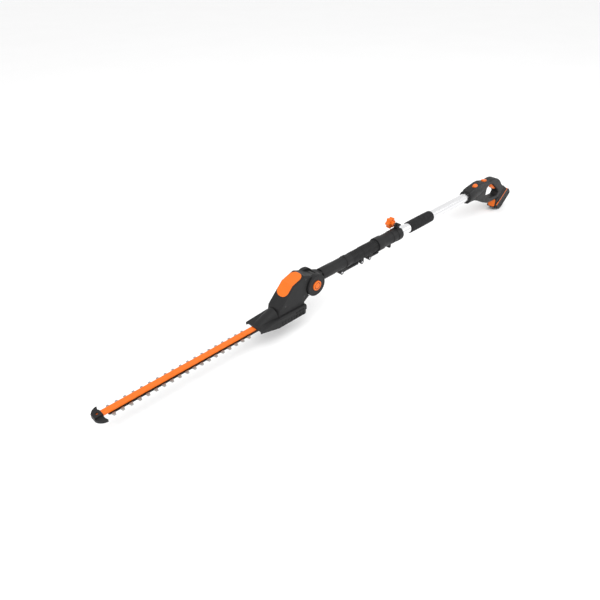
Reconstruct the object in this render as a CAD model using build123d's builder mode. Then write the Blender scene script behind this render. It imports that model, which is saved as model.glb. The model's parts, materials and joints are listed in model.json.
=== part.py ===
from build123d import *
import os
from math import cos, radians, sin

# Pole hedge trimmer, in millimetres.
# +X runs from the blade tip to the operator's handle, +Z is up, -Y is the operator's left.
# The origin is the centre of the hanging hole in the blade bar, at the tip guard.

# ---------------------------------------------------------------- driving dimensions
AXIS_Z = 66.0            # height of the pole's axis over the blade bar
TUBE_R = 18.0            # pole tube, outside
TUBE_WALL = 1.6
TUBE_X = (860.0, 1668.0)
GRIP_R = 22.0
GRIP_X = (1245.0, 1385.0)
RUN_FIT = 0.05           # radial clearance of a running fit
WALL = 2.6               # plastic shell thickness

# blade
BAR_W = 18.0
BAR_T = 6.0
BAR_X = (-8.0, 598.0)
HANG_HOLE_R = 2.6
PITCH = 24.0
TEETH = 19
FIRST_TOOTH_X = 35.0
TOOTH_REACH = 21.0       # tooth tip, from the centre line
TOOTH_ROOT_W = 11.0
TOOTH_TIP_W = 6.0
BLADE_HALF = 11.5
BLADE_T = 2.2
BLADE_GAP = 0.2
BLADE_TOP = {"upper": -4.2, "lower": -6.6}
BLADE_START = 24.0
STROKE = 6.0             # each blade's travel to either side of rest
GUIDE_SCREW_X = (95.0, 215.0, 335.0, 455.0)
GUIDE_SCREW_R = 2.0

# tip guard
GUARD_FRONT = -12.0
GUARD_BLOCK_REAR = 11.0
GUARD_BARB = (13.0, 30.0)

# head
PIVOT = (731.0, 62.0)    # x, z of the tilt axis, which lies along Y
TONGUE_R = 30.0
TONGUE_HALF = 18.0
PIN_R = 5.0
CASE_HALF = 35.0         # half width of the lower body
CASE_X = (575.0, 686.0)
CASE_BOTTOM = -23.0
HOUSING_HALF = 27.0      # half width of the motor housing
TRAY_TOP = -4.2

# drive
GEAR_X = 625.0
GEAR_MODULE = 1.25
GEAR_TEETH = 40
PINION_TEETH = 10
GEAR_Z = (2.5, 8.0)
MOTOR_X = GEAR_X + GEAR_MODULE * (GEAR_TEETH + PINION_TEETH) / 2
MOTOR_R = 18.5
MOTOR_Z = (27.0, 80.0)
CAM_R = 9.5
GEAR_SHAFT_R = 3.0
MOTOR_SHAFT_R = 2.5

# arm
ARM_R = 20.0
EAR_R = 37.0
WEB_R = 26.0              # fork web behind the ears' discs
WEB_REAR_X = 790.0
WEB_REAR_R = 14.0
NECK_SWEEP_R = 41.0       # how far from the pivot the housing's neck reaches as it tilts
EAR_HALF = 34.0
FORK_HALF = 18.5
ARM_END = 1053.0
SLEEVE_X = (1053.0, 1163.0)
COLLAR_X = (1163.3, 1190.0)
TUBE_CLEAR = 0.3
CLAMP_X = 1179.0
CLAMP_Z = 98.0
BUTTON_R = 16.5

# handle, seen from the side, and the plane in which the battery meets it
HANDLE_HALF = 17.5
FOOT_CENTRE = (1926.5, 0.0, -14.5)
FOOT_TILT = 40.5
FOOT_HALF = 23.0
PACK_HALF = 23.5
FOOT = Plane(
    origin=FOOT_CENTRE,
    x_dir=(cos(radians(FOOT_TILT)), 0, sin(radians(FOOT_TILT))),
    z_dir=(sin(radians(FOOT_TILT)), 0, -cos(radians(FOOT_TILT))),
)
TRIGGER_PIVOT = (1823.0, 82.5)

os.makedirs("parts", exist_ok=True)


def save(part, name):
    part.label = name
    export_step(part, f"parts/{name}.step")


def facing_y(y):
    """Side-view plane at this y: sketch x is X, sketch y is Z, and extrude goes to -Y."""
    return Plane.XZ.offset(-y)


def along_y(spots, radius, y_low, y_high, mode=Mode.ADD):
    """Round bars along Y through these (x, z) spots."""
    with BuildSketch(facing_y(y_high)) as discs:
        with Locations(*spots):
            Circle(radius)
    extrude(discs.sketch, amount=y_high - y_low, mode=mode)


def along_x(radius, x_low, x_high, z=AXIS_Z, mode=Mode.ADD):
    """A round bar along X."""
    with BuildSketch(Plane.YZ.offset(x_low)) as disc:
        with Locations((0, z)):
            Circle(radius)
    extrude(disc.sketch, amount=x_high - x_low, mode=mode)


def along_z(spots, radius, z_low, z_high, mode=Mode.ADD):
    """Round bars along Z through these (x, y) spots."""
    with BuildSketch(Plane.XY.offset(z_low)) as discs:
        with Locations(*spots):
            Circle(radius)
    extrude(discs.sketch, amount=z_high - z_low, mode=mode)


def block(x, y, z, plane=Plane.XY, mode=Mode.ADD):
    """A box between two values on each axis of the plane."""
    with BuildSketch(plane.offset(z[0])) as base:
        with Locations(((x[0] + x[1]) / 2, (y[0] + y[1]) / 2)):
            Rectangle(x[1] - x[0], y[1] - y[0])
    extrude(base.sketch, amount=z[1] - z[0], mode=mode)


def coil(centre, direction, radius, wire, length, turns):
    """A compression spring."""
    with BuildPart() as spring:
        with BuildLine() as path:
            Helix(length / turns, length, radius, center=centre, direction=direction)
        with BuildSketch(Plane(path.line @ 0, z_dir=path.line % 0)):
            Circle(wire)
        sweep(is_frenet=True)
    return spring.part


# ---------------------------------------------------------------- tip guard
with BuildPart() as tip_guard:
    with BuildSketch(Plane.XY.offset(-8)):
        with BuildLine():
            Line((GUARD_FRONT, 0), (GUARD_FRONT, 8))
            ThreePointArc((GUARD_FRONT, 8), (-5, 22), GUARD_BARB)
            ThreePointArc(GUARD_BARB, (10, 19.5), (GUARD_BLOCK_REAR, 10))
            Line((GUARD_BLOCK_REAR, 10), (GUARD_BLOCK_REAR, 0))
            mirror(about=Plane.XZ)
        make_face()
    extrude(amount=9)
    block((GUARD_FRONT, GUARD_BLOCK_REAR), (-10.5, 10.5), (-8, 6.5))
    fillet(tip_guard.edges().group_by(Axis.Z)[-1], 1.6)
    block((BAR_X[0], 40), (-BAR_W / 2 - 0.1, BAR_W / 2 + 0.1), (-BAR_T / 2 - 0.1, BAR_T / 2 + 0.1),
          mode=Mode.SUBTRACT)
    along_z([(0, 0)], 3.6, -20, 20, mode=Mode.SUBTRACT)
save(tip_guard.part, "tip_guard")

# ---------------------------------------------------------------- blade bar and its screws
with BuildPart() as blade_bar:
    block(BAR_X, (-BAR_W / 2, BAR_W / 2), (-BAR_T / 2, BAR_T / 2))
    chamfer(blade_bar.edges().filter_by(Axis.X).group_by(Axis.Z)[-1], 0.8)
    along_z([(0, 0)], HANG_HOLE_R, -BAR_T, BAR_T, mode=Mode.SUBTRACT)
    along_z([(x, 0) for x in GUIDE_SCREW_X], GUIDE_SCREW_R, -BAR_T, BAR_T, mode=Mode.SUBTRACT)
    along_z([(588, -5), (588, 5)], 1.6, -BAR_T, BAR_T, mode=Mode.SUBTRACT)
save(blade_bar.part, "blade_bar")

with BuildPart() as guide_screws:
    spots = [(x, 0) for x in GUIDE_SCREW_X]
    along_z(spots, GUIDE_SCREW_R, -10, BAR_T / 2)
    along_z(spots, 4.2, -11.2, -9)
    along_z(spots, 3.2, BAR_T / 2, BAR_T / 2 + 0.8)
save(guide_screws.part, "guide_screws")


# ---------------------------------------------------------------- reciprocating blades
YOKE_HALF = (CAM_R + STROKE) + STROKE + 0.6      # half length of the window the cams turn in
YOKE_WIDE = (CAM_R + STROKE) + 0.6               # half width of that window
SLOT_LENGTH = 2 * (GUIDE_SCREW_R + STROKE + 0.4)


def toothed_blade(top):
    """One blade: a toothed strip, with slots for the guide screws and a yoke at its root."""
    outline = [(BLADE_START, BLADE_HALF - 4), (BLADE_START + 4, BLADE_HALF)]
    for i in range(TEETH):
        x = FIRST_TOOTH_X + i * PITCH
        outline.append((x - TOOTH_ROOT_W / 2, BLADE_HALF))
        outline.append((x - TOOTH_TIP_W / 2, TOOTH_REACH))
        outline.append((x + TOOTH_TIP_W / 2, TOOTH_REACH))
        outline.append((x + TOOTH_ROOT_W / 2, BLADE_HALF))
    outline.append((GEAR_X - YOKE_HALF, BLADE_HALF))
    with BuildPart() as blade:
        with BuildSketch(Plane.XY.offset(top - BLADE_T)):
            with BuildLine():
                edge = Polyline(*outline)
                Line(edge @ 1, (GEAR_X - YOKE_HALF, 0))
                Line(edge @ 0, (BLADE_START, 0))
                mirror(about=Plane.XZ)
            make_face()
            with Locations((GEAR_X, 0)):
                RectangleRounded(2 * (YOKE_HALF + 6), 2 * (YOKE_WIDE + 6), 5)
                RectangleRounded(2 * YOKE_HALF, 2 * YOKE_WIDE, 4, mode=Mode.SUBTRACT)
            with Locations(*[(x, 0) for x in GUIDE_SCREW_X]):
                SlotOverall(SLOT_LENGTH, 2 * (GUIDE_SCREW_R + 0.3), mode=Mode.SUBTRACT)
        extrude(amount=BLADE_T)
    return blade.part


for layer, top in BLADE_TOP.items():
    save(toothed_blade(top), f"{layer}_blade")

# ---------------------------------------------------------------- blade guard over the blade's root
with BuildPart() as blade_guard:
    GUARD_SECTIONS = ((498.0, -3.5, 6.4, 35.0, 2.2), (CASE_X[0] - 0.2, CASE_BOTTOM, 13.0, 35.3, 5.0))
    CREST_SECTIONS = ((503.0, 3.0, 14.0, 3.0), (CASE_X[0] - 0.2, 10.0, 25.5, 25.0))
    for x, low, high, half, corner in GUARD_SECTIONS:
        with BuildSketch(Plane.YZ.offset(x)):
            with Locations((0, (low + high) / 2)):
                RectangleRounded(2 * half, high - low, corner)
    loft()
    for x, middle, half, height in CREST_SECTIONS:
        with BuildSketch(Plane.YZ.offset(x)):
            with Locations((0, middle)):
                Ellipse(half, height)
    loft()
    for x, low, high, half, corner in GUARD_SECTIONS:
        with BuildSketch(Plane.YZ.offset(x)):
            with Locations((0, (low - 30 + high - WALL) / 2)):
                RectangleRounded(2 * (half - WALL), high - WALL - low + 30, corner - 1)
    loft(mode=Mode.SUBTRACT)
    for x, middle, half, height in CREST_SECTIONS:
        with BuildSketch(Plane.YZ.offset(x)):
            with Locations((0, middle - WALL)):
                Ellipse(half - WALL, height - 0.4)
    loft(mode=Mode.SUBTRACT)
save(blade_guard.part, "blade_guard")

# ---------------------------------------------------------------- head housing, two halves
SHOULDER_Z = (14.0, 12.0)                        # top of the lower body, front and rear
HUMP = [(CASE_X[0] + 0.2, 12), (580, 37), (637, 97), (684, 112), (712, 101), (PIVOT[0], PIVOT[1] + TONGUE_R)]
NECK = [(PIVOT[0], PIVOT[1] - TONGUE_R), (704, 30), (CASE_X[1], 18), (CASE_X[1], 6), (CASE_X[0] + 0.2, 6)]
HOUSING_SCREWS = [(604.0, 40.0), (690.0, 98.0), (684.0, 40.0)]
VENT_X = [640 + 6 * i for i in range(6)]


def head_profile(inset):
    """Side view of the motor housing and the tongue behind it."""
    with BuildSketch(Plane.XZ) as profile:
        with BuildLine():
            Polyline(*HUMP)
            ThreePointArc(HUMP[-1], (PIVOT[0] + TONGUE_R, PIVOT[1]), NECK[0])
            Polyline(*NECK, HUMP[0])
        make_face()
        if inset:
            offset(amount=-inset, kind=Kind.INTERSECTION, mode=Mode.REPLACE)
        hump = [v for v in profile.vertices() if v.Z > 33 - inset and v.X < PIVOT[0] - 30]
        fillet(hump, 12)
    return profile.sketch


def lower_profile(inset):
    """Side view of the lower body above the tray."""
    with BuildSketch(Plane.XZ) as profile:
        with BuildLine():
            Polyline(
                (CASE_X[0] + 0.2 + inset, SHOULDER_Z[0] - inset),
                (CASE_X[1] - inset, SHOULDER_Z[1] - inset),
                (CASE_X[1] - inset, TRAY_TOP - inset),
                (CASE_X[0] + 0.2 + inset, TRAY_TOP - inset),
                close=True,
            )
        make_face()
    return profile.sketch


with BuildPart() as head_cap:
    extrude(head_profile(-0.8), amount=23, both=True)
    extrude(head_profile(1.8), amount=24, both=True, mode=Mode.SUBTRACT)
    with BuildSketch(Plane(origin=(655, 0, 75), x_dir=(0.8, 0, 0.6), z_dir=(-0.6, 0, 0.8))):
        with Locations((1, 0)):
            RectangleRounded(92, 46, 20)
    extrude(amount=60, mode=Mode.INTERSECT)
save(head_cap.part, "head_cap")

with BuildPart() as head_cavity:
    extrude(head_profile(WALL), amount=HOUSING_HALF - WALL, both=True)
    for low, high in ((TONGUE_HALF - WALL, 60), (-60, WALL - TONGUE_HALF)):
        along_y([PIVOT], EAR_R + 1.5 + WALL, low, high, mode=Mode.SUBTRACT)
        block((PIVOT[0] - 12 - WALL, PIVOT[0] + 60), (low, high), (0, 120), mode=Mode.SUBTRACT)
    extrude(lower_profile(WALL), amount=CASE_HALF - WALL, both=True)

with BuildPart() as casing:
    extrude(head_profile(0), amount=HOUSING_HALF, both=True)
    fillet(casing.faces().filter_by(Axis.Y).edges(), 5)
    extrude(lower_profile(0), amount=CASE_HALF, both=True)
    shoulder = [e for e in casing.edges() if abs(abs(e.center().Y) - CASE_HALF) < 0.1 and e.center().Z > 11
                and e.length > 90]
    fillet(shoulder, 6)
    # the sides stand back from the arm's ears, and only the tongue goes between them
    for low, high in ((TONGUE_HALF, 60), (-60, -TONGUE_HALF)):
        along_y([PIVOT], EAR_R + 1.5, low, high, mode=Mode.SUBTRACT)
        block((PIVOT[0] - 12, PIVOT[0] + 60), (low, high), (0, 120), mode=Mode.SUBTRACT)
    add(head_cavity.part, mode=Mode.SUBTRACT)
    add(head_cap.part, mode=Mode.SUBTRACT)
    # bosses for the clamshell screws and for the tilt pin
    along_y(HOUSING_SCREWS, 4, WALL - HOUSING_HALF, HOUSING_HALF - WALL)
    along_y([PIVOT], 9, 3.2, TONGUE_HALF - 1)
    along_y([PIVOT], 9, 1 - TONGUE_HALF, -3.2)
    along_y(HOUSING_SCREWS, 1.5, -60, 60, mode=Mode.SUBTRACT)
    along_y(HOUSING_SCREWS, 3.4, -60, -HOUSING_HALF + 1.6, mode=Mode.SUBTRACT)
    along_y([PIVOT], PIN_R + RUN_FIT, -30, 30, mode=Mode.SUBTRACT)
    # air slots in both sides, and the mouth that the bar and blades come out of
    for x in VENT_X:
        block((x, x + 2.6), (-40, -CASE_HALF + WALL + 1), (-1, 6), mode=Mode.SUBTRACT)
        block((x, x + 2.6), (CASE_HALF - WALL - 1, 40), (-1, 6), mode=Mode.SUBTRACT)
    block((CASE_X[0] - 5, CASE_X[0] + 10), (-14, 14), (-10, 4), mode=Mode.SUBTRACT)

SIDES = (("left", Keep.TOP), ("right", Keep.BOTTOM))
for side, keep in SIDES:
    with BuildPart() as housing_half:
        add(casing.part)
        split(bisect_by=Plane.XZ, keep=keep)
    save(housing_half.part, f"housing_{side}")

with BuildPart() as housing_screws:
    along_y(HOUSING_SCREWS, 1.5, -HOUSING_HALF + 1.6, 12)
    along_y(HOUSING_SCREWS, 3.2, -HOUSING_HALF + 0.2, -HOUSING_HALF + 1.6)
save(housing_screws.part, "housing_screws")

with BuildPart() as gear_case_base:
    block((CASE_X[0] + 0.2, CASE_X[1]), (-CASE_HALF, CASE_HALF), (CASE_BOTTOM, TRAY_TOP - 0.2))
    fillet(gear_case_base.edges().group_by(Axis.Z)[0].filter_by(Axis.X), 6)
    fillet(gear_case_base.edges().filter_by(Axis.Z).group_by(Axis.X)[-1], 6)
    block((CASE_X[0] - 5, CASE_X[1] - WALL), (WALL - CASE_HALF, CASE_HALF - WALL),
          (CASE_BOTTOM + WALL, 0), mode=Mode.SUBTRACT)
    for x in VENT_X:
        block((x, x + 2.6), (-40, 40), (-15, -7), mode=Mode.SUBTRACT)
save(gear_case_base.part, "gear_case_base")

# ---------------------------------------------------------------- gear plate, bearings and motor
with BuildPart() as gear_plate:
    block((580, 681), (-23.5, 23.5), (20, 24))
    fillet(gear_plate.edges().filter_by(Axis.Z), 6)
    block((580, 597), (-9, 9), (BAR_T / 2, 20))
    along_z([(588, -5), (588, 5)], 1.6, 0, 14, mode=Mode.SUBTRACT)
    along_z([(GEAR_X, 0)], 9, 0, 30, mode=Mode.SUBTRACT)
    along_z([(MOTOR_X, 0)], 9, 0, 30, mode=Mode.SUBTRACT)
save(gear_plate.part, "gear_plate")

with BuildPart() as bar_screws:
    along_z([(588, -5), (588, 5)], 1.6, -BAR_T / 2, 14)
save(bar_screws.part, "bar_screws")

with BuildPart() as gear_bearings:
    along_z([(GEAR_X, 0)], 9, 20, 24)
    along_z([(GEAR_X, 0)], 7, CASE_BOTTOM + WALL, -9.2)
    along_z([(GEAR_X, 0)], GEAR_SHAFT_R + RUN_FIT, -30, 30, mode=Mode.SUBTRACT)
save(gear_bearings.part, "gear_bearings")

with BuildPart() as motor_can:
    along_z([(MOTOR_X, 0)], MOTOR_R, *MOTOR_Z)
    along_z([(MOTOR_X, 0)], MOTOR_R - 2, MOTOR_Z[0] + 3, MOTOR_Z[1] - 3, mode=Mode.SUBTRACT)
    along_z([(MOTOR_X, 0)], 6, *MOTOR_Z, mode=Mode.SUBTRACT)
save(motor_can.part, "motor_can")

with BuildPart() as motor_bearings:
    along_z([(MOTOR_X, 0)], 6, MOTOR_Z[0], MOTOR_Z[0] + 3)
    along_z([(MOTOR_X, 0)], 6, MOTOR_Z[1] - 3, MOTOR_Z[1])
    along_z([(MOTOR_X, 0)], MOTOR_SHAFT_R + RUN_FIT, *MOTOR_Z, mode=Mode.SUBTRACT)
save(motor_bearings.part, "motor_bearings")

with BuildPart() as motor_rotor:
    along_z([(MOTOR_X, 0)], 14, 36, 70)
    with BuildSketch(Plane.XY.offset(36)):
        with Locations((MOTOR_X, 0)):
            with PolarLocations(13, 7):
                Rectangle(8, 3)
    extrude(amount=34, mode=Mode.SUBTRACT)
    along_z([(MOTOR_X, 0)], MOTOR_SHAFT_R, GEAR_Z[0] - 0.5, 91)
save(motor_rotor.part, "motor_rotor")

with BuildPart() as cooling_fan:
    along_z([(MOTOR_X, 0)], 14.5, 83, 84.5)
    along_z([(MOTOR_X, 0)], 5, 84.5, 90)
    with BuildSketch(Plane.XY.offset(84.5)):
        with Locations((MOTOR_X, 0)):
            with PolarLocations(9.5, 9):
                Rectangle(9.4, 1.4, rotation=12)
    extrude(amount=5)
    along_z([(MOTOR_X, 0)], MOTOR_SHAFT_R, 80, 92, mode=Mode.SUBTRACT)
save(cooling_fan.part, "cooling_fan")


def gear_outline(teeth, phase):
    """Straight-flanked gear teeth with running backlash."""
    pitch_r = GEAR_MODULE * teeth / 2
    rows = ((-1.15, 1.04), (0.8, 0.33))         # radius and half thickness at root and tip, in modules
    points = []
    for i in range(teeth):
        middle = radians(phase) + i * radians(360 / teeth)
        corners = [(rows[0], -1), (rows[1], -1), (rows[1], 1), (rows[0], 1)]
        for (rise, half), sign in corners:
            radius = pitch_r + rise * GEAR_MODULE
            angle = middle + sign * half * GEAR_MODULE / radius
            points.append((radius * cos(angle), radius * sin(angle)))
    with BuildSketch() as outline:
        with BuildLine():
            Polyline(*points, close=True)
        make_face()
    return outline.sketch


with BuildPart() as drive_gear:
    with BuildSketch(Plane.XY.offset(GEAR_Z[0])):
        with Locations((GEAR_X, 0)):
            add(gear_outline(GEAR_TEETH, 0))
            with PolarLocations(15, 6):
                Circle(4.5, mode=Mode.SUBTRACT)
    extrude(amount=GEAR_Z[1] - GEAR_Z[0])
    along_z([(GEAR_X, 0)], 6, -1.9, 19)
    along_z([(GEAR_X, 0)], GEAR_SHAFT_R, -16, 26)
save(drive_gear.part, "drive_gear")

with BuildPart() as pinion:
    with BuildSketch(Plane.XY.offset(GEAR_Z[0] - 0.5)):
        with Locations((MOTOR_X, 0)):
            add(gear_outline(PINION_TEETH, 180 / PINION_TEETH))
            Circle(MOTOR_SHAFT_R, mode=Mode.SUBTRACT)
    extrude(amount=GEAR_Z[1] - GEAR_Z[0] + 1)
save(pinion.part, "pinion")

with BuildPart() as eccentric_cams:
    along_z([(GEAR_X, STROKE)], CAM_R, BLADE_TOP["upper"] - BLADE_T, BLADE_TOP["upper"])
    along_z([(GEAR_X, -STROKE)], CAM_R, BLADE_TOP["lower"] - BLADE_T, BLADE_TOP["lower"])
    along_z([(GEAR_X, 0)], GEAR_SHAFT_R, -20, 20, mode=Mode.SUBTRACT)
save(eccentric_cams.part, "eccentric_cams")

with BuildPart() as index_plate:
    with BuildSketch(facing_y(3)):
        with Locations(PIVOT):
            Circle(20)
            with PolarLocations(20, 24):
                Circle(1.5, mode=Mode.SUBTRACT)
            Circle(PIN_R + RUN_FIT, mode=Mode.SUBTRACT)
    extrude(amount=6)
save(index_plate.part, "index_plate")

# ---------------------------------------------------------------- arm, two halves
ARM_BOSSES = [(875.0, 36.0), (977.0, 35.0), (1018.0, 34.0)]
ARM_STEPS = ((778.0, 835.0, ARM_R + 0.3), (778.0, ARM_END, ARM_R - 0.4), (890.0, 904.0, ARM_R + 1.2),
             (975.0, ARM_END, ARM_R + 0.8))
ARM_FINS = ((886.0, 74.0), (1022.0, 46.0))       # hanging fins below the arm: front end and length
BOSS_R = 7.0
BOSS_HALF = 12.0
RIB_X = [925 + 6 * i for i in range(21)]
RIB_HIGH = 0.8
GAP_UP = radians(66)                             # the fork is open from this angle round the blade's side
GAP_DOWN = radians(-38)
NECK_UP = radians(42)                            # and nearer the pivot from this angle
NECK_DOWN = radians(-6)

with BuildPart() as arm:
    with BuildSketch(Plane.XZ):
        with Locations(PIVOT):
            Circle(WEB_R)
        with Locations((WEB_REAR_X, AXIS_Z)):
            Circle(WEB_REAR_R)
        make_hull()
    extrude(amount=EAR_HALF - 4, both=True)
    with BuildSketch(Plane.XY):
        Polygon((690, 4 - EAR_HALF), (742, 4 - EAR_HALF), (775, -WEB_REAR_R), (840, -WEB_REAR_R),
                (840, WEB_REAR_R), (775, WEB_REAR_R), (742, EAR_HALF - 4), (690, EAR_HALF - 4), align=None)
    extrude(amount=120, both=True, mode=Mode.INTERSECT)
    fillet(arm.faces().filter_by(Axis.Y).edges(), 3)
    # each ear ends in a disc that stands proud of the web
    for low, high in ((FORK_HALF, EAR_HALF), (-EAR_HALF, -FORK_HALF)):
        along_y([PIVOT], EAR_R, low, high)
    ear_faces = arm.faces().filter_by(Axis.Y).filter_by(lambda f: abs(abs(f.center().Y) - EAR_HALF) < 0.01)
    fillet(ear_faces.edges(), 3)
    for x_low, x_high, radius in ARM_STEPS:
        along_x(radius, x_low, x_high)
    for x in RIB_X:
        under = ARM_STEPS[-1] if x >= ARM_STEPS[-1][0] else ARM_STEPS[1]
        along_x(under[2] + RIB_HIGH, x, x + 2.4)
    along_y(ARM_BOSSES, BOSS_R, -BOSS_HALF, BOSS_HALF)
    for x, z in ARM_BOSSES:
        block((x - BOSS_R, x + BOSS_R), (-BOSS_HALF, BOSS_HALF), (z, AXIS_Z - 12))
    # each fin hangs from its front end and is open to the rear
    for x, reach in ARM_FINS:
        block((x, min(x + reach, ARM_END)), (-9, 9), (AXIS_Z - ARM_R - 13, AXIS_Z - 12))
        block((x + 14, x + reach + 5), (-10, 10), (AXIS_Z - ARM_R - 6.5, AXIS_Z - ARM_R - 1.5),
              mode=Mode.SUBTRACT)
        block((x, x + reach), (-9, 9), (AXIS_Z - ARM_R - 13, AXIS_Z - ARM_R - 6.5))
    # fork gap, round the tongue and open through the whole tilt
    along_y([PIVOT], TONGUE_R + 1.2, -FORK_HALF, FORK_HALF, mode=Mode.SUBTRACT)
    with BuildSketch(Plane.XZ):
        Polygon(PIVOT, (PIVOT[0] + 70 * cos(GAP_UP), PIVOT[1] + 70 * sin(GAP_UP)), (620, 140), (620, -30),
                (PIVOT[0] + 70 * cos(GAP_DOWN), PIVOT[1] + 70 * sin(GAP_DOWN)), align=None)
    extrude(amount=FORK_HALF, both=True, mode=Mode.SUBTRACT)
    with BuildSketch(Plane.XZ) as neck_sweep:
        with Locations(PIVOT):
            Circle(NECK_SWEEP_R)
        Polygon(PIVOT, (PIVOT[0] + 70 * cos(NECK_UP), PIVOT[1] + 70 * sin(NECK_UP)), (660, 180), (660, -60),
                (PIVOT[0] + 70 * cos(NECK_DOWN), PIVOT[1] + 70 * sin(NECK_DOWN)), align=None,
                mode=Mode.INTERSECT)
    extrude(neck_sweep.sketch, amount=FORK_HALF, both=True, mode=Mode.SUBTRACT)
    # bores: cable way, pole tube, tilt pin, and the buttons' cups
    along_x(13, 755, 870, mode=Mode.SUBTRACT)
    along_x(TUBE_R + TUBE_CLEAR, TUBE_X[0] - 4, ARM_END + 1, mode=Mode.SUBTRACT)
    along_y([PIVOT], PIN_R, -24, 24, mode=Mode.SUBTRACT)
    along_y([PIVOT], BUTTON_R + 0.4, EAR_HALF - 11, EAR_HALF + 1, mode=Mode.SUBTRACT)
    along_y([PIVOT], BUTTON_R + 0.4, -EAR_HALF - 1, 11 - EAR_HALF, mode=Mode.SUBTRACT)
    along_y(ARM_BOSSES, 1.6, -20, 20, mode=Mode.SUBTRACT)
    along_y(ARM_BOSSES, 4, -20, 2 - BOSS_HALF, mode=Mode.SUBTRACT)

for side, keep in SIDES:
    with BuildPart() as arm_half:
        add(arm.part)
        split(bisect_by=Plane.XZ, keep=keep)
    save(arm_half.part, f"arm_shell_{side}")

with BuildPart() as arm_screws:
    along_y(ARM_BOSSES, 1.6, 2 - BOSS_HALF, 11)
    along_y(ARM_BOSSES, 3.2, 0.4 - BOSS_HALF, 2 - BOSS_HALF)
save(arm_screws.part, "arm_screws")

with BuildPart() as pivot_pin:
    along_y([PIVOT], PIN_R, -23, 23)
save(pivot_pin.part, "pivot_pin")

for side, sign in (("left", -1), ("right", 1)):
    with BuildPart() as pivot_button:
        inner, outer = EAR_HALF - 4.5, EAR_HALF + 3.5
        along_y([PIVOT], BUTTON_R, min(sign * inner, sign * outer), max(sign * inner, sign * outer))
        fillet(pivot_button.edges().sort_by(Axis.Y)[-1 if sign > 0 else 0], 2)
        along_y([PIVOT], 12, min(sign * (outer - 1.2), sign * 40), max(sign * (outer - 1.2), sign * 40),
                mode=Mode.SUBTRACT)
        disc = sorted((sign * inner, sign * (outer - 0.3)))
        along_y([PIVOT], 9.5, *disc)
    save(pivot_button.part, f"pivot_button_{side}")
    spring = coil((PIVOT[0], sign * (EAR_HALF - 10.3), PIVOT[1]), (0, sign, 0), 8, 0.5, 5, 3)
    save(spring, f"pivot_spring_{side}")

SLEEVE_BOSS = (1131.0, 36.0)

with BuildPart() as arm_sleeve:
    along_x(ARM_R + 5.5, SLEEVE_X[0] + 0.2, SLEEVE_X[0] + 32)
    chamfer(arm_sleeve.edges().group_by(Axis.X)[0], 1)
    along_x(ARM_R + 2.8, SLEEVE_X[0] + 32, SLEEVE_X[1])
    along_x(ARM_R + 4, SLEEVE_X[1] - 26, SLEEVE_X[1])
    along_y([SLEEVE_BOSS], 6, -10, 10)
    block((SLEEVE_BOSS[0] - 6, SLEEVE_BOSS[0] + 6), (-10, 10), (SLEEVE_BOSS[1], AXIS_Z - 12))
    along_x(TUBE_R + TUBE_CLEAR, 1000, 1190, mode=Mode.SUBTRACT)
    along_y([SLEEVE_BOSS], 3, -20, -6, mode=Mode.SUBTRACT)
save(arm_sleeve.part, "arm_sleeve")

with BuildPart() as clamp_collar:
    along_x(ARM_R + 5, *COLLAR_X)
    fillet(clamp_collar.edges().group_by(Axis.X)[-1], 3)
    for low, high in ((-9, -1.5), (1.5, 9)):
        with BuildSketch(facing_y(high)):
            with Locations((CLAMP_X, CLAMP_Z)):
                Circle(9.5)
            with Locations((CLAMP_X, (CLAMP_Z + AXIS_Z + ARM_R) / 2 - 3)):
                Rectangle(20, CLAMP_Z - AXIS_Z - ARM_R + 6)
            make_hull()
        extrude(amount=high - low)
    along_x(TUBE_R + TUBE_CLEAR, 1100, 1250, mode=Mode.SUBTRACT)
    block((1100, 1250), (-1.5, 1.5), (AXIS_Z, 120), mode=Mode.SUBTRACT)
    along_y([(CLAMP_X, CLAMP_Z)], 3, -20, 20, mode=Mode.SUBTRACT)
save(clamp_collar.part, "clamp_collar")

with BuildPart() as clamp_bolt:
    along_y([(CLAMP_X, CLAMP_Z)], 3, -10, 40)
    with BuildSketch(facing_y(-9)):
        with Locations((CLAMP_X, CLAMP_Z)):
            RegularPolygon(5.5, 6)
    extrude(amount=4)
save(clamp_bolt.part, "clamp_bolt")

with BuildPart() as clamp_knob:
    with BuildSketch(facing_y(42)):
        with Locations((CLAMP_X, CLAMP_Z)):
            Circle(16)
            with PolarLocations(15.5, 6):
                Circle(5)
    extrude(amount=17)
    fillet(clamp_knob.edges().group_by(Axis.Y)[-1], 2)
    along_y([(CLAMP_X, CLAMP_Z)], 7.5, 15, 26)
    with BuildSketch(facing_y(33)):
        with Locations((CLAMP_X, CLAMP_Z)):
            with PolarLocations(11.5, 6, start_angle=30):
                Circle(2.4)
    extrude(amount=20, mode=Mode.SUBTRACT)
    along_y([(CLAMP_X, CLAMP_Z)], 3 + RUN_FIT, 0, 60, mode=Mode.SUBTRACT)
save(clamp_knob.part, "clamp_knob")

# ---------------------------------------------------------------- pole
with BuildPart() as pole_tube:
    along_x(TUBE_R, *TUBE_X)
    along_x(TUBE_R - TUBE_WALL, *TUBE_X, mode=Mode.SUBTRACT)
save(pole_tube.part, "pole_tube")

with BuildPart() as tube_end_bush:
    along_x(TUBE_R - TUBE_WALL, TUBE_X[0], TUBE_X[0] + 20)
    along_x(TUBE_R, TUBE_X[0] - 2.5, TUBE_X[0])
    along_x(5, TUBE_X[0] - 10, TUBE_X[0] + 30, mode=Mode.SUBTRACT)
save(tube_end_bush.part, "tube_end_bush")

with BuildPart() as foam_grip:
    along_x(GRIP_R, *GRIP_X)
    fillet(foam_grip.edges(), 3)
    along_x(TUBE_R, *GRIP_X, mode=Mode.SUBTRACT)
save(foam_grip.part, "foam_grip")

with BuildPart() as power_lead:
    along_x(3.2, TUBE_X[0] - 2, TUBE_X[1] + 20)
save(power_lead.part, "power_lead")

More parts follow.
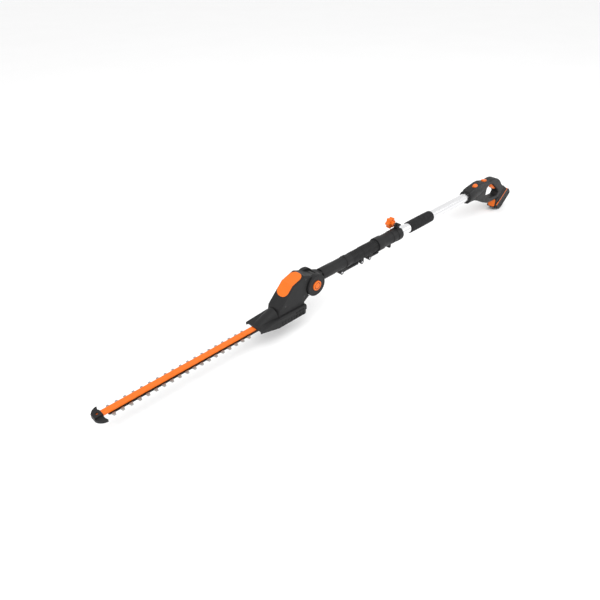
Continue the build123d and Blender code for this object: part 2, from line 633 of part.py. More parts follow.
# ---------------------------------------------------------------- rear handle, two halves
HANDLE_OUTLINE = [
    (1905, 55), (1922, 40), (1950, 23), (1961, 14.5), (1904.5, -33.6), (1904.5, -13.5), (1884, -12.5),
    (1840, -13), (1807, -9), (1767, 6), (1722, 28), (1688, 40), (1655, 42), (1637, 41), (1637, 93),
    (1662, 99), (1711, 106), (1735, 106), (1768, 98), (1800, 94.5),
]
HANDLE_CROWN = (1861, 88)                        # the outline's rounded top goes through here
LOOP_OUTLINE = [(1779, 40), (1781, 66), (1797, 77), (1826, 74), (1880, 34), (1893, 16), (1884, 4),
                (1845, 7), (1802, 18)]
GRIP_ALONG = Vector(1880 - 1826, 0, 34 - 74).normalized()
TRIGGER_PLANE = Plane(origin=(TRIGGER_PIVOT[0], 0, TRIGGER_PIVOT[1]), x_dir=GRIP_ALONG, z_dir=(0, -1, 0))
HANDLE_SCREWS = [(1692.0, 54.0), (1745.0, 34.0), (1728.0, 89.0), (1852.0, 80.0), (1900.0, 44.0),
                 (1828.0, -1.0), (1915.0, 8.0)]
SHELF_Z = (76.0, 78.0)                           # shelf inside the handle that the buttons spring from
LOCK_PLANE = Plane(origin=(1686, -8, 102), x_dir=(1, 0, 0), z_dir=(0, -0.35, 0.937))
SAFETY_PLANE = Plane(origin=(1770, 0, 99), x_dir=(0.985, 0, -0.17), z_dir=(0.17, 0, 0.985))
CHANNEL = (-40.0, 36.0)                          # the battery's channel, along the foot
TONGUE_X = (-36.0, 30.5)
CONTACT_Y = (-8.0, 0.0, 8.0)


def handle_profile(inset):
    """Side view of the handle with its hand loop."""
    with BuildSketch(Plane.XZ) as profile:
        with BuildSketch(Plane.XY, mode=Mode.PRIVATE) as loop:
            Polygon(*LOOP_OUTLINE, align=None)
            fillet(loop.vertices(), 5)
            offset(amount=inset + 0.001, kind=Kind.INTERSECTION, mode=Mode.REPLACE)
        with BuildLine():
            Polyline(*HANDLE_OUTLINE)
            ThreePointArc(HANDLE_OUTLINE[-1], HANDLE_CROWN, HANDLE_OUTLINE[0])
        make_face()
        offset(amount=-inset - 0.001, kind=Kind.INTERSECTION, mode=Mode.REPLACE)
        add(loop.sketch, mode=Mode.SUBTRACT)
    return profile.sketch


with BuildPart() as handle_cavity:
    extrude(handle_profile(WALL), amount=HANDLE_HALF - WALL, both=True)
    block((-70, 70), (-50, 50), (-12, 20), plane=FOOT, mode=Mode.SUBTRACT)
    block((1600, TUBE_X[1] + WALL), (-50, 50), (0, 150), mode=Mode.SUBTRACT)

with BuildPart() as handle:
    extrude(handle_profile(0), amount=HANDLE_HALF, both=True)
    fillet(handle.faces().filter_by(Axis.Y).edges(), 4)
    along_x(27, 1637, TUBE_X[1])
    with BuildSketch(Plane.YZ.offset(TUBE_X[1])):
        with Locations((0, AXIS_Z)):
            Circle(27)
    with BuildSketch(Plane.YZ.offset(1750)):
        with Locations((0, AXIS_Z + 2)):
            Circle(18)
    loft()
    with BuildSketch(FOOT.offset(-24)):
        with Locations((12, 0)):
            RectangleRounded(60, 2 * HANDLE_HALF, 6)
    with BuildSketch(FOOT.offset(-0.15)):
        with Locations((9, 0)):
            RectangleRounded(74, 2 * FOOT_HALF, 4)
    loft()
    add(handle_cavity.part, mode=Mode.SUBTRACT)
    block((-90, 90), (-50, 50), (-0.15, 40), plane=FOOT, mode=Mode.SUBTRACT)
    block((TUBE_X[1] + 3, 1784), (WALL - HANDLE_HALF, HANDLE_HALF - WALL), SHELF_Z)
    along_x(TUBE_R, 1600, TUBE_X[1], mode=Mode.SUBTRACT)
    along_x(12, TUBE_X[1], TUBE_X[1] + 20, mode=Mode.SUBTRACT)
    along_y(HANDLE_SCREWS, 4, WALL - HANDLE_HALF, HANDLE_HALF - WALL)
    along_y(HANDLE_SCREWS, 1.5, -60, 60, mode=Mode.SUBTRACT)
    along_y(HANDLE_SCREWS, 3.4, -60, -HANDLE_HALF + 1.6, mode=Mode.SUBTRACT)
    # trigger slot in the grip's front face
    block((-8, 69), (-12, 8), (-8.6, 8.6), plane=TRIGGER_PLANE, mode=Mode.SUBTRACT)
    # button openings in the top
    for spot, length, width in ((LOCK_PLANE, 26.8, 16.8), (SAFETY_PLANE, 30.8, 17.8)):
        with BuildSketch(spot.offset(-10)):
            SlotOverall(length, width)
        extrude(amount=24, mode=Mode.SUBTRACT)
    # channel for the battery's tongue, with undercut lips, and room in front for the battery's nose
    block(CHANNEL, (-19.5, 19.5), (-8.6, -4.2), plane=FOOT, mode=Mode.SUBTRACT)
    block(CHANNEL, (-15.5, 15.5), (-5, 5), plane=FOOT, mode=Mode.SUBTRACT)
    block((1880, 1904.5), (-50, 50), (-80, -13.5), mode=Mode.SUBTRACT)

for side, keep in SIDES:
    with BuildPart() as handle_half:
        add(handle.part)
        split(bisect_by=Plane.XZ, keep=keep)
    save(handle_half.part, f"handle_{side}")

with BuildPart() as handle_screws:
    along_y(HANDLE_SCREWS, 1.5, -HANDLE_HALF + 1.6, 10)
    along_y(HANDLE_SCREWS, 3.2, -HANDLE_HALF + 0.2, -HANDLE_HALF + 1.6)
save(handle_screws.part, "handle_screws")

# ---------------------------------------------------------------- trigger, switch and buttons
with BuildPart() as trigger:
    with BuildSketch(TRIGGER_PLANE.offset(-8)):
        with BuildLine():
            ThreePointArc((-4, -6), (32, -16), (66, -9))
            Polyline((66, -9), (66, 2), (5, 2), (-4, -6))
        make_face()
    extrude(amount=16)
    fillet(trigger.edges().filter_by(lambda e: abs(abs(e.center().Y) - 8) < 0.1 and e.length > 60), 3)
    along_y([TRIGGER_PIVOT], 4.5, -8, 8)
    along_y([TRIGGER_PIVOT], 1.5 + RUN_FIT, -20, 20, mode=Mode.SUBTRACT)
save(trigger.part, "trigger")

with BuildPart() as trigger_pin:
    along_y([TRIGGER_PIVOT], 1.5, WALL - HANDLE_HALF, HANDLE_HALF - WALL)
save(trigger_pin.part, "trigger_pin")
trigger_spring = coil(TRIGGER_PLANE.from_local_coords((61, 2.7, 0)), TRIGGER_PLANE.y_dir, 3.2, 0.45, 14, 5)
save(trigger_spring, "trigger_spring")

with BuildPart() as trigger_switch:
    block((30, 55), (13, 22), (-8, 8), plane=TRIGGER_PLANE)
    block((57, 65), (18, 21), (-8, 8), plane=TRIGGER_PLANE)
    block((50, 60), (20, 22), (-8, 8), plane=TRIGGER_PLANE)
save(trigger_switch.part, "trigger_switch")

for name, spot, length, width, reach in (
    ("lock_off", LOCK_PLANE, 26, 16, 5.5),
    ("safety", SAFETY_PLANE, 30, 17, 5.5),
):
    with BuildPart() as button:
        with BuildSketch(spot.offset(-6)):
            SlotOverall(length, width)
        extrude(amount=6 + reach)
        rim = button.edges().filter_by(lambda e: abs(spot.to_local_coords(e.center()).Z - reach) < 0.05)
        fillet(rim, 2.5)
    save(button.part, f"{name}_button")
    drop = (spot.origin.Z - SHELF_Z[1]) / spot.z_dir.Z - 6
    start = spot.from_local_coords((0, 0, -6.5))
    save(coil(start, -spot.z_dir, 3, 0.4, drop - 2, 5), f"{name}_spring")

with BuildPart() as controller_board:
    block((1694, 1752), (-14, 14), (60, 61.6))
    block((1700, 1712), (-10, 10), (61.6, 68))
    for x in (1720, 1729, 1738):
        block((x, x + 6), (-9, -2), (61.6, 65))
        along_z([(x + 3, 6)], 3.4, 61.6, 70)
save(controller_board.part, "controller_board")

# ---------------------------------------------------------------- battery pack and its terminals
PACK_SIDE = Plane(origin=FOOT_CENTRE, x_dir=FOOT.x_dir, z_dir=(0, 1, 0))
PACK_TOP = 3.8
PACK_SPLIT = 21.0
PACK_UPPER = [(-45, PACK_TOP), (-50, PACK_SPLIT), (57, PACK_SPLIT), (48, PACK_TOP)]
PACK_LOWER = [(-50, PACK_SPLIT + 0.2), (-38, 44), (-26, 50), (50, 50), (58, 44), (58, PACK_SPLIT + 0.2)]
NOSE_X = (1888.0, 1903.0)
NOSE_Z = (-58.0, -14.0)
LATCH_Z = -36.0

with BuildPart() as terminal_block:
    block((31, CHANNEL[1]), (-14, 14), (-8.6, -4.3), plane=FOOT)
    for y in CONTACT_Y:
        block((14, 31), (y - 0.4, y + 0.4), (-7.8, -3.5), plane=FOOT)
save(terminal_block.part, "terminal_block")

with BuildPart() as battery_case_upper:
    with BuildSketch(PACK_SIDE):
        Polygon(*PACK_UPPER, align=None)
    extrude(amount=PACK_HALF, both=True)
    fillet(battery_case_upper.faces().filter_by(Axis.Y).edges().filter_by(
        lambda e: e.center().X < 1900 or e.center().X > 1966), 4)
    block(NOSE_X, (-20, 20), NOSE_Z)
    fillet(battery_case_upper.edges().group_by(Axis.X)[0], 2.5)
    with BuildSketch(PACK_SIDE):
        Polygon((-42, 7), (-46, PACK_SPLIT), (53, PACK_SPLIT), (46, PACK_TOP + WALL), (-34, PACK_TOP + WALL),
                align=None)
    extrude(amount=PACK_HALF - WALL, both=True, mode=Mode.SUBTRACT)
    block((-43, 45), (-PACK_HALF + 3, PACK_HALF - 3), (0.15, PACK_TOP), plane=FOOT)
    block(TONGUE_X, (-19, 19), (-8, -4.7), plane=FOOT)
    block(TONGUE_X, (-15, 15), (-4.7, 0.5), plane=FOOT)
    for y in CONTACT_Y:
        block((10, 40), (y - 1.2, y + 1.2), (-10, -2), plane=FOOT, mode=Mode.SUBTRACT)
    with BuildSketch(Plane.YZ.offset(1880)):
        with Locations((0, LATCH_Z)):
            RectangleRounded(30.8, 36.8, 8)
    extrude(amount=19, mode=Mode.SUBTRACT)
save(battery_case_upper.part, "battery_case_upper")

with BuildPart() as battery_case_lower:
    with BuildSketch(PACK_SIDE):
        Polygon(*PACK_LOWER, align=None)
    extrude(amount=PACK_HALF, both=True)
    fillet(battery_case_lower.faces().filter_by(Axis.Y).edges().filter_by(
        lambda e: PACK_SIDE.to_local_coords(e.center()).Y > 24), 3)
    with BuildSketch(PACK_SIDE):
        Polygon((-46, PACK_SPLIT), (-35.5, 42.5), (-25, 47.2), (49, 47.2), (55.2, 42.5), (55.2, PACK_SPLIT),
                align=None)
    extrude(amount=PACK_HALF - WALL, both=True, mode=Mode.SUBTRACT)
    for i in range(13):
        u = -30 + 6.2 * i
        for y in (-PACK_HALF, PACK_HALF - 1):
            block((u, u + 2.6), (y, y + 1), (26, 42), plane=FOOT, mode=Mode.SUBTRACT)
save(battery_case_lower.part, "battery_case_lower")

with BuildPart() as battery_band:
    block((-45, 48), (-PACK_HALF, PACK_HALF), (0.15, PACK_TOP), plane=FOOT)
    block((-43, 45), (-PACK_HALF + 3, PACK_HALF - 3), (-1, 5), plane=FOOT, mode=Mode.SUBTRACT)
    block((-60, -38), (-20, 20), (-1, 5), plane=FOOT, mode=Mode.SUBTRACT)
save(battery_band.part, "battery_band")

with BuildPart() as battery_cells:
    with BuildSketch(Plane(origin=FOOT_CENTRE, x_dir=(0, 1, 0), z_dir=FOOT.x_dir).offset(-18)):
        for w in (17, 36.5):
            for y in (-9.7, 9.7):
                with Locations((y, -w)):
                    Circle(9.2)
    extrude(amount=65)
save(battery_cells.part, "battery_cells")

with BuildPart() as battery_contacts:
    for y in CONTACT_Y:
        for offset_y in (-0.9, 0.9):
            block((15, 29), (y + offset_y - 0.3, y + offset_y + 0.3), (-7.5, -2), plane=FOOT)
save(battery_contacts.part, "battery_contacts")

with BuildPart() as battery_latch:
    with BuildSketch(Plane.YZ.offset(1886)):
        with Locations((0, LATCH_Z)):
            RectangleRounded(30, 36, 7.5)
    extrude(amount=6)
    fillet(battery_latch.edges().group_by(Axis.X)[0], 2)
save(battery_latch.part, "battery_latch")
save(coil((1892.8, 0, LATCH_Z), (1, 0, 0), 5, 0.5, 5.4, 3), "latch_spring")
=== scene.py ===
"""Pole hedge trimmer: materials, extra detail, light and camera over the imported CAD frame.

Metres throughout, in the CAD's own frame: +X from the blade tip back along the pole, +Z up.
"""
import json
from math import cos, pi, radians, sin

import bmesh
import bpy
from mathutils import Matrix, Vector


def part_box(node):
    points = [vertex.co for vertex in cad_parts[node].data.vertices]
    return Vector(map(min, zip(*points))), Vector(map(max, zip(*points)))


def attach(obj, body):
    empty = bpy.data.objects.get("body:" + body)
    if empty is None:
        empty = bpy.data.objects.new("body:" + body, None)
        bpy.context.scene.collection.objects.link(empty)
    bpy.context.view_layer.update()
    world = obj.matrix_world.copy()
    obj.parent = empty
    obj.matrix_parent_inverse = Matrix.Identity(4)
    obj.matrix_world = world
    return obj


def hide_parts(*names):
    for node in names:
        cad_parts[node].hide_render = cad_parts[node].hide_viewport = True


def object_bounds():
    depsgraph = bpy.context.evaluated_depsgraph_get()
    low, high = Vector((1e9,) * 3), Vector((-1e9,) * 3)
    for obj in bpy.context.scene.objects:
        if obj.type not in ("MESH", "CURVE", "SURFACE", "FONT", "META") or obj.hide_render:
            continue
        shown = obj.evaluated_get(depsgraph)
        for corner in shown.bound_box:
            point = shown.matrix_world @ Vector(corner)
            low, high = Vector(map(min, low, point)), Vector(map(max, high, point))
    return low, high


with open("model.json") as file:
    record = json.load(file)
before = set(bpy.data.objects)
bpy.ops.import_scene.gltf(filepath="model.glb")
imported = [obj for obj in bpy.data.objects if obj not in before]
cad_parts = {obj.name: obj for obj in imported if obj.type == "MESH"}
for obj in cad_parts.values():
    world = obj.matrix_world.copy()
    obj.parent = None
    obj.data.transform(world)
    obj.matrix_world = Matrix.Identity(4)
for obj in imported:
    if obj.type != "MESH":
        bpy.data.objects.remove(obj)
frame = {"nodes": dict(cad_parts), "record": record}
nodes = frame["nodes"]
cad_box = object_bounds()
scene = bpy.context.scene

# ---------------------------------------------------------------- camera
CAMERA_PLACE = Vector((-0.2924, -1.0099, 0.9852))
CAMERA_RIGHT = Vector((0.7165, -0.6974, 0.0))
CAMERA_UP = Vector((0.3969, 0.4078, 0.8220))
CAMERA_LENS = 32.52


def make_camera():
    """The camera at the photograph's viewing angle."""
    data = bpy.data.cameras.new("camera")
    data.lens = CAMERA_LENS
    data.clip_end = 100
    camera = bpy.data.objects.new("camera", data)
    right = CAMERA_RIGHT.normalized()
    back = right.cross(CAMERA_UP).normalized()
    turn = Matrix((right, back.cross(right), back)).transposed()
    camera.matrix_world = Matrix.Translation(CAMERA_PLACE) @ turn.to_4x4()
    scene.collection.objects.link(camera)
    scene.camera = camera


make_camera()

# ---------------------------------------------------------------- materials
CHARCOAL = (0.0130, 0.0130, 0.0135)
ORANGE = (0.77, 0.150, 0.012)


class Finish:
    """A node material being built: a Principled shader fed from object coordinates."""

    def __init__(self, name, colour, roughness, metallic=0.0):
        self.material = bpy.data.materials.new(name)
        self.material.use_nodes = True
        self.tree = self.material.node_tree
        self.shader = self.tree.nodes["Principled BSDF"]
        self.shader.inputs["Base Color"].default_value = (*colour, 1)
        self.shader.inputs["Roughness"].default_value = roughness
        self.shader.inputs["Metallic"].default_value = metallic
        self.shader.inputs["Specular IOR Level"].default_value = 0.22
        self.colour = colour
        self.roughness = roughness
        self.place = self.tree.nodes.new("ShaderNodeTexCoord").outputs["Object"]
        self.normal = None

    def noise(self, scale, detail=3.0, stretch=(1, 1, 1)):
        """A noise pattern of about 1/scale metres, stretched along the axes."""
        mapping = self.tree.nodes.new("ShaderNodeMapping")
        mapping.inputs["Scale"].default_value = stretch
        pattern = self.tree.nodes.new("ShaderNodeTexNoise")
        pattern.inputs["Scale"].default_value = scale
        pattern.inputs["Detail"].default_value = detail
        self.tree.links.new(self.place, mapping.inputs["Vector"])
        self.tree.links.new(mapping.outputs["Vector"], pattern.inputs["Vector"])
        return pattern.outputs["Fac"]

    def cells(self, scale):
        """A pattern of round cells, for foam and pores."""
        pattern = self.tree.nodes.new("ShaderNodeTexVoronoi")
        pattern.inputs["Scale"].default_value = scale
        self.tree.links.new(self.place, pattern.inputs["Vector"])
        return pattern.outputs["Distance"]

    def ramp(self, value, low, high, start=0.35, end=0.65):
        """Value turned into a colour between low and high."""
        ramp = self.tree.nodes.new("ShaderNodeValToRGB")
        ramp.color_ramp.elements[0].position = start
        ramp.color_ramp.elements[1].position = end
        ramp.color_ramp.elements[0].color = (*low, 1)
        ramp.color_ramp.elements[1].color = (*high, 1)
        self.tree.links.new(value, ramp.inputs["Fac"])
        return ramp.outputs["Color"]

    def shade(self, value, spread, start=0.35, end=0.65):
        """Colour that varies by spread either side of the base."""
        low = tuple(channel * (1 - spread) for channel in self.colour)
        high = tuple(min(1, channel * (1 + spread)) for channel in self.colour)
        self.tree.links.new(self.ramp(value, low, high, start, end), self.shader.inputs["Base Color"])
        return self

    def polish(self, value, spread):
        """Roughness that varies by spread either side of the base."""
        low = (max(0.02, self.roughness - spread),) * 3
        high = (min(1, self.roughness + spread),) * 3
        self.tree.links.new(self.ramp(value, low, high), self.shader.inputs["Roughness"])
        return self

    def bump(self, value, strength, depth):
        """Relief from a pattern, added to any relief already there."""
        bump = self.tree.nodes.new("ShaderNodeBump")
        bump.inputs["Strength"].default_value = strength
        bump.inputs["Distance"].default_value = depth
        self.tree.links.new(value, bump.inputs["Height"])
        if self.normal:
            self.tree.links.new(self.normal, bump.inputs["Normal"])
        self.normal = bump.outputs["Normal"]
        self.tree.links.new(self.normal, self.shader.inputs["Normal"])
        return self


def moulded(name, colour, roughness, grain=0.30):
    """Moulded plastic with a fine spark-eroded grain and slight cloudiness."""
    finish = Finish(name, colour, roughness)
    finish.shade(finish.noise(14), 0.05)
    finish.polish(finish.noise(60), 0.05)
    finish.bump(finish.noise(1500, detail=2), grain, 0.00015)
    return finish


def ground(name, colour, roughness, along=(1, 40, 40), contrast=0.12):
    """Metal with grinding lines along one axis."""
    finish = Finish(name, colour, roughness, metallic=1.0)
    lines = finish.noise(60, detail=4, stretch=along)
    finish.shade(lines, contrast)
    finish.polish(lines, contrast)
    finish.bump(lines, contrast, 0.0001)
    return finish


def rubber(name, colour):
    """Matt rubber with faint blotches."""
    finish = Finish(name, colour, 0.75)
    finish.shade(finish.noise(40), 0.15)
    finish.bump(finish.noise(900), 0.2, 0.0002)
    return finish


def foam(name, colour):
    """Closed-cell foam: small pores and a slightly dusty surface."""
    finish = Finish(name, colour, 0.92)
    finish.shade(finish.noise(120, detail=5), 0.25)
    finish.bump(finish.cells(520), 0.45, 0.0006)
    finish.bump(finish.noise(1500), 0.25, 0.0003)
    return finish


def toothed(name, colour, dark, body_half):
    """Ground steel teeth on a blade whose middle is blackened."""
    finish = ground(name, colour, 0.42, along=(14, 3, 14))
    split = finish.tree.nodes.new("ShaderNodeSeparateXYZ")
    away = finish.tree.nodes.new("ShaderNodeMath")
    away.operation = "ABSOLUTE"
    finish.tree.links.new(finish.place, split.inputs["Vector"])
    finish.tree.links.new(split.outputs["Y"], away.inputs[0])
    scaled = finish.tree.nodes.new("ShaderNodeMath")
    scaled.operation = "MULTIPLY"
    scaled.inputs[1].default_value = 0.5 / body_half
    finish.tree.links.new(away.outputs["Value"], scaled.inputs[0])
    mask = finish.ramp(scaled.outputs["Value"], (0, 0, 0), (1, 1, 1), 0.49, 0.54)
    mix = finish.tree.nodes.new("ShaderNodeMix")
    mix.data_type = "RGBA"
    source = finish.shader.inputs["Base Color"].links[0].from_socket
    finish.tree.links.new(mask, mix.inputs["Factor"])
    finish.tree.links.new(source, mix.inputs["B"])
    mix.inputs["A"].default_value = (*dark, 1)
    finish.tree.links.new(mix.outputs["Result"], finish.shader.inputs["Base Color"])
    return finish


def painted(name, colour):
    """Paint over steel: a smooth coat with a faint orange peel and fine scuffs along the bar."""
    finish = Finish(name, colour, 0.42)
    finish.shade(finish.noise(90, detail=5, stretch=(1, 14, 14)), 0.07)
    finish.polish(finish.noise(50), 0.08)
    finish.bump(finish.noise(450, detail=1), 0.06, 0.0002)
    return finish


SLOTS = {
    "charcoal_plastic": moulded("charcoal_plastic", CHARCOAL, 0.52),
    "orange_plastic": moulded("orange_plastic", ORANGE, 0.36, grain=0.12),
    "orange_paint": painted("orange_paint", ORANGE),
    "dark_steel": moulded("dark_steel", (0.03, 0.03, 0.032), 0.4, grain=0.1),
    "blade_steel": toothed("blade_steel", (0.36, 0.35, 0.335), (0.035, 0.033, 0.032), 0.0125),
    "zinc_steel": ground("zinc_steel", (0.72, 0.72, 0.74), 0.28, along=(12, 12, 12)),
    "gear_case": ground("gear_case", (0.55, 0.55, 0.57), 0.5, along=(8, 8, 8)),
    "gear_steel": ground("gear_steel", (0.42, 0.42, 0.44), 0.35, along=(10, 10, 10)),
    "copper": ground("copper", (0.72, 0.33, 0.18), 0.35, along=(20, 20, 2)),
    "black_plastic": moulded("black_plastic", (0.018, 0.018, 0.019), 0.5),
    "spring_steel": ground("spring_steel", (0.6, 0.6, 0.62), 0.25, along=(10, 10, 10)),
    "aluminium_tube": ground("aluminium_tube", (0.80, 0.80, 0.81), 0.25, along=(0.6, 30, 30), contrast=0.04),
    "foam": foam("foam", (0.016, 0.016, 0.017)),
    "lead_rubber": rubber("lead_rubber", (0.02, 0.02, 0.02)),
    "circuit_board": moulded("circuit_board", (0.01, 0.14, 0.05), 0.3, grain=0.1),
    "cell_wrap": moulded("cell_wrap", (0.03, 0.16, 0.40), 0.25, grain=0.05),
    "contact_brass": ground("contact_brass", (0.78, 0.58, 0.28), 0.3, along=(10, 10, 10)),
}


def paint(obj, slot):
    """Gives a piece the finish of one of the record's material slots."""
    obj.data.materials.clear()
    obj.data.materials.append(SLOTS[slot].material)


# ---------------------------------------------------------------- CAD nodes: finish and softened edges
BEVELLED = {
    "housing_left": 1.6, "housing_right": 1.6, "blade_guard": 1.4, "head_cap": 1.6,
    "arm_shell_left": 1.0, "arm_shell_right": 1.0, "arm_sleeve": 0.8, "clamp_collar": 0.8,
    "handle_left": 1.0, "handle_right": 1.0, "tip_guard": 0.8, "clamp_knob": 1.0,
    "battery_case_upper": 0.8, "battery_case_lower": 0.6, "gear_case_base": 0.8,
    "pivot_button_left": 0.6, "pivot_button_right": 0.6,
}


def soften(obj, width_mm):
    """Joins the CAD mesh's patches and rounds its sharp edges."""
    weld = obj.modifiers.new("weld", "WELD")
    weld.merge_threshold = 0.00002
    bevel = obj.modifiers.new("soften", "BEVEL")
    bevel.width = width_mm / 1000
    bevel.segments = 3
    bevel.limit_method = "ANGLE"
    bevel.angle_limit = radians(38)
    bevel.harden_normals = False


def dress_nodes():
    """Every CAD node gets its slot's finish, and the mouldings get rounded edges."""
    slot_of = {row["node"]: row["material_slot"] for row in frame["record"]["subparts"]}
    for name, obj in nodes.items():
        paint(obj, slot_of[name])
        if name in BEVELLED:
            soften(obj, BEVELLED[name])


dress_nodes()

# ---------------------------------------------------------------- helpers for new pieces
AXIS_Z = 0.066


def piece(name, mesh, body, slot):
    """A new object from a bmesh, riding on a body."""
    data = bpy.data.meshes.new(name)
    bmesh.ops.recalc_face_normals(mesh, faces=mesh.faces)
    mesh.to_mesh(data)
    mesh.free()
    obj = bpy.data.objects.new(name, data)
    scene.collection.objects.link(obj)
    paint(obj, slot)
    data.shade_smooth()
    data.set_sharp_from_angle(angle=radians(40))
    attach(obj, body)
    return obj


def lathe(profile, steps=96, centre=(0, 0, AXIS_Z)):
    """A closed ring turned round an axis along X from (x, radius) points."""
    mesh = bmesh.new()
    rings = []
    for i in range(steps):
        turn = 2 * pi * i / steps
        ring = [mesh.verts.new((centre[0] + x, centre[1] + r * sin(turn), centre[2] + r * cos(turn)))
                for x, r in profile]
        rings.append(ring)
    for i in range(steps):
        here, there = rings[i], rings[(i + 1) % steps]
        for j in range(len(profile)):
            k = (j + 1) % len(profile)
            mesh.faces.new((here[j], here[k], there[k], there[j]))
    return mesh


# ---------------------------------------------------------------- foam grip
GRIP_BORE_R = 0.0182
GRIP_CURL = 0.0032          # radius of the rolled ends
GRIP_CROWN = 0.0006
GRIP_SETBACK = 0.0004       # how far the bore's ends sit inside the roll


def make_grip():
    """The foam sleeve: a slightly crowned roll whose ends curl in to the tube."""
    low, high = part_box("foam_grip")
    length = high.x - low.x
    outer = (high.z - low.z) / 2
    curl = GRIP_CURL
    shoulder = outer - curl - GRIP_CROWN
    profile = [(low.x + GRIP_SETBACK, GRIP_BORE_R)]
    for i in range(7):
        turn = radians(15 * i)
        profile.append((low.x + curl - curl * cos(turn), shoulder + curl * sin(turn)))
    for i in range(1, 12):
        share = i / 12
        drop = GRIP_CROWN * (2 * share - 1) ** 2
        profile.append((low.x + curl + (length - 2 * curl) * share, outer - drop))
    for i in range(6, -1, -1):
        turn = radians(15 * i)
        profile.append((high.x - curl + curl * cos(turn), shoulder + curl * sin(turn)))
    profile.append((high.x - GRIP_SETBACK, GRIP_BORE_R))
    grip = piece("grip_foam", lathe(profile), "pole", "foam")
    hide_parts("foam_grip")


make_grip()

# ---------------------------------------------------------------- moulded detail on the head
RIB_WIDTH = 0.0032
RIB_PITCH = 0.0125
RIB_COUNT = 8
RIB_START = 0.008           # first rib, back from the gear case's front
RIB_FOOT = 0.0045           # how far above the case's lower edge the ribs stop
RIB_PROUD = 0.0011
RIB_SUNK = 0.0004
EAR_EDGE_R = 0.0335
EAR_EDGE_WIRE = 0.0012
EAR_EDGE_SUNK = 0.0003
BUTTON_RING_R = 0.01075
BUTTON_RING_WIRE = 0.0011
BUTTON_RING_SUNK = 0.0014


def rounded_bar(mesh, low, high, corner=0.0006):
    """Adds a bar between two corners, with all its edges rounded."""
    made = bmesh.ops.create_cube(mesh, size=1)["verts"]
    middle = (Vector(low) + Vector(high)) / 2
    size = Vector(high) - Vector(low)
    for vert in made:
        vert.co = Vector(a * b for a, b in zip(vert.co, size)) + middle
    edges = {edge for vert in made for edge in vert.link_edges}
    bmesh.ops.bevel(mesh, geom=list(edges), offset=corner, segments=2, affect="EDGES")


def ring_about_y(mesh, x, z, radius, wire, y, steps=96, sides=10):
    """Adds a round-section ring whose axis is along Y."""
    rings = []
    for i in range(steps):
        turn = 2 * pi * i / steps
        ring = []
        for j in range(sides):
            roll = 2 * pi * j / sides
            reach = radius + wire * cos(roll)
            ring.append(mesh.verts.new((x + reach * cos(turn), y + wire * sin(roll), z + reach * sin(turn))))
        rings.append(ring)
    for i in range(steps):
        here, there = rings[i], rings[(i + 1) % steps]
        for j in range(sides):
            k = (j + 1) % sides
            mesh.faces.new((here[j], here[k], there[k], there[j]))


def make_base_ribs():
    """Upright ribs along both sides of the gear case, ending a little above its lower edge."""
    low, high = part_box("gear_case_base")
    mesh = bmesh.new()
    for i in range(RIB_COUNT):
        x = low.x + RIB_START + i * RIB_PITCH
        for side in (-1, 1):
            near, far = sorted((side * (high.y - RIB_SUNK), side * (high.y + RIB_PROUD)))
            rounded_bar(mesh, (x, near, low.z + RIB_FOOT), (x + RIB_WIDTH, far, high.z))
    piece("base_ribs", mesh, "head", "charcoal_plastic")


def middle_of(name):
    """The middle of a CAD node's box."""
    low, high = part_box(name)
    return (low + high) / 2


def make_pivot_rings():
    """The raised edge of each fork ear, and the dark ring sunk in each pivot button."""
    pivot = middle_of("pivot_button_left")
    ear_y = abs(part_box("arm_shell_left")[0].y)
    button_y = abs(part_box("pivot_button_left")[0].y)
    for name, side in (("left", -1), ("right", 1)):
        edge = bmesh.new()
        ring_about_y(edge, pivot.x, pivot.z, EAR_EDGE_R, EAR_EDGE_WIRE, side * (ear_y - EAR_EDGE_SUNK))
        piece(f"ear_edge_{name}", edge, "arm", "charcoal_plastic")
        groove = bmesh.new()
        ring_y = side * (button_y - BUTTON_RING_SUNK)
        ring_about_y(groove, pivot.x, pivot.z, BUTTON_RING_R, BUTTON_RING_WIRE, ring_y)
        piece(f"button_ring_{name}", groove, f"pivot_button_{name}", "dark_steel")


make_base_ribs()
make_pivot_rings()

# ---------------------------------------------------------------- ribbed inlays on the rear handle
PAD_LINE = [(1.8560, 0.0765), (1.8745, 0.0665), (1.8890, 0.0500), (1.8985, 0.0320), (1.9030, 0.0150)]
PAD_HALF = 0.0070
PAD_GROOVES = 9
PAD_STEPS = PAD_GROOVES * 8
PAD_ACROSS = 4              # half the number of strips across a pad
PAD_CROWN = 0.0007
PAD_WAVE = 0.0003           # depth of the ribbing
PAD_SUNK = 0.0003
PAD_ROOT = 0.0012           # how far below the handle's side the pad's back lies
PAD_TIP = 0.0004            # half width left at each end


def curve_point(points, share):
    """A point and direction at a share of the way along a smooth line through (x, z) points."""
    place = share * (len(points) - 1)
    i = min(int(place), len(points) - 2)
    t = place - i
    before = points[max(i - 1, 0)]
    after = points[min(i + 2, len(points) - 1)]
    here, there = points[i], points[i + 1]
    spot, slope = [], []
    for a, b, c, d in zip(before, here, there, after):
        spot.append(0.5 * (2 * b + (c - a) * t + (2 * a - 5 * b + 4 * c - d) * t ** 2
                           + (3 * b - a - 3 * c + d) * t ** 3))
        slope.append(0.5 * ((c - a) + 2 * (2 * a - 5 * b + 4 * c - d) * t
                            + 3 * (3 * b - a - 3 * c + d) * t ** 2))
    return Vector(spot), Vector(slope).normalized()


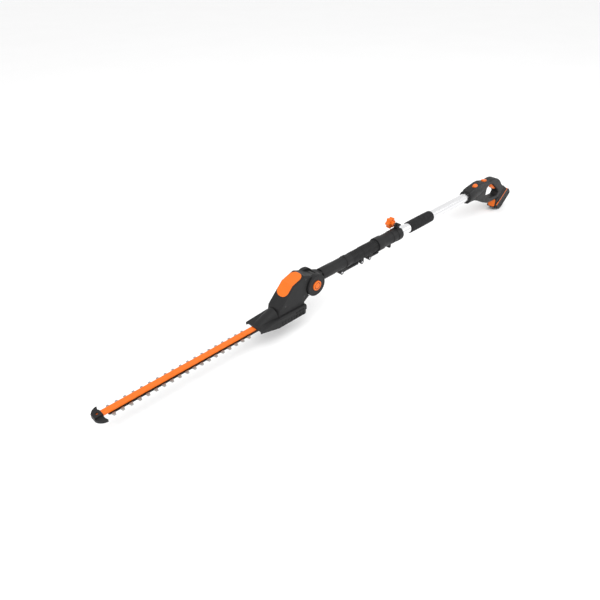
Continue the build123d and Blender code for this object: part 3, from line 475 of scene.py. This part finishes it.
def pad_row(mesh, share, side, face):
    """One line of points across a pad, from its back over its crown and down again."""
    middle, along = curve_point(PAD_LINE, share)
    across = Vector((-along.y, along.x))
    width = PAD_HALF * (1 - (2 * share - 1) ** 6) ** 0.5 + PAD_TIP
    wave = PAD_WAVE * cos(2 * pi * PAD_GROOVES * share)
    row = []
    for j in range(-PAD_ACROSS, PAD_ACROSS + 1):
        reach = j / PAD_ACROSS
        spot = middle + across * reach * width
        height = face - PAD_SUNK + PAD_CROWN * (1 - reach ** 4) + wave * (1 - reach ** 2)
        row.append(mesh.verts.new((spot.x, side * height, spot.y)))
    back = [mesh.verts.new((v.co.x, side * (face - PAD_ROOT), v.co.z)) for v in (row[0], row[-1])]
    return [back[0], *row, back[1]]


def make_handle_pads():
    """A ribbed inlay on each side of the grip."""
    face = abs(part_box("handle_screws")[0].y)
    for name, side in (("left", -1), ("right", 1)):
        mesh = bmesh.new()
        rows = [pad_row(mesh, i / PAD_STEPS, side, face) for i in range(PAD_STEPS + 1)]
        for here, there in zip(rows, rows[1:]):
            for j in range(len(here)):
                k = (j + 1) % len(here)
                mesh.faces.new((here[j], here[k], there[k], there[j]))
        mesh.faces.new(rows[0])
        mesh.faces.new(rows[-1])
        piece(f"handle_pad_{name}", mesh, "pole", "black_plastic")


make_handle_pads()

# ---------------------------------------------------------------- floor and light
FLOOR_GAP = 0.0005
FLOOR_HALF = 30
FLOOR_GREY = (0.93, 0.93, 0.93)


def make_floor():
    """A wide pale floor just under the lowest point."""
    mesh = bmesh.new()
    bmesh.ops.create_grid(mesh, x_segments=2, y_segments=2, size=FLOOR_HALF)
    data = bpy.data.meshes.new("floor")
    mesh.to_mesh(data)
    mesh.free()
    floor = bpy.data.objects.new("floor", data)
    floor.location.z = cad_box[0].z - FLOOR_GAP
    scene.collection.objects.link(floor)
    finish = Finish("floor", FLOOR_GREY, 0.9)
    finish.shade(finish.noise(2), 0.004)
    floor.data.materials.append(finish.material)


def make_area(name, place, target, size, power):
    """A square soft light aimed at a point."""
    data = bpy.data.lights.new(name, "AREA")
    data.size = size
    data.energy = power
    light = bpy.data.objects.new(name, data)
    light.location = place
    light.rotation_euler = (Vector(target) - Vector(place)).to_track_quat("-Z", "Y").to_euler()
    scene.collection.objects.link(light)


def make_light():
    """A white surround with one large key light and a weaker fill."""
    world = bpy.data.worlds.new("studio")
    world.use_nodes = True
    world.node_tree.nodes["Background"].inputs["Color"].default_value = (1, 1, 1, 1)
    world.node_tree.nodes["Background"].inputs["Strength"].default_value = 1.0
    scene.world = world
    make_area("key", (-0.8, -1.2, 3.0), (1.0, 0, 0), 2.6, 60)
    make_area("fill", (2.8, -2.0, 2.0), (1.4, 0, 0), 2.0, 22)


make_floor()
make_light()
scene.view_settings.view_transform = "Standard"
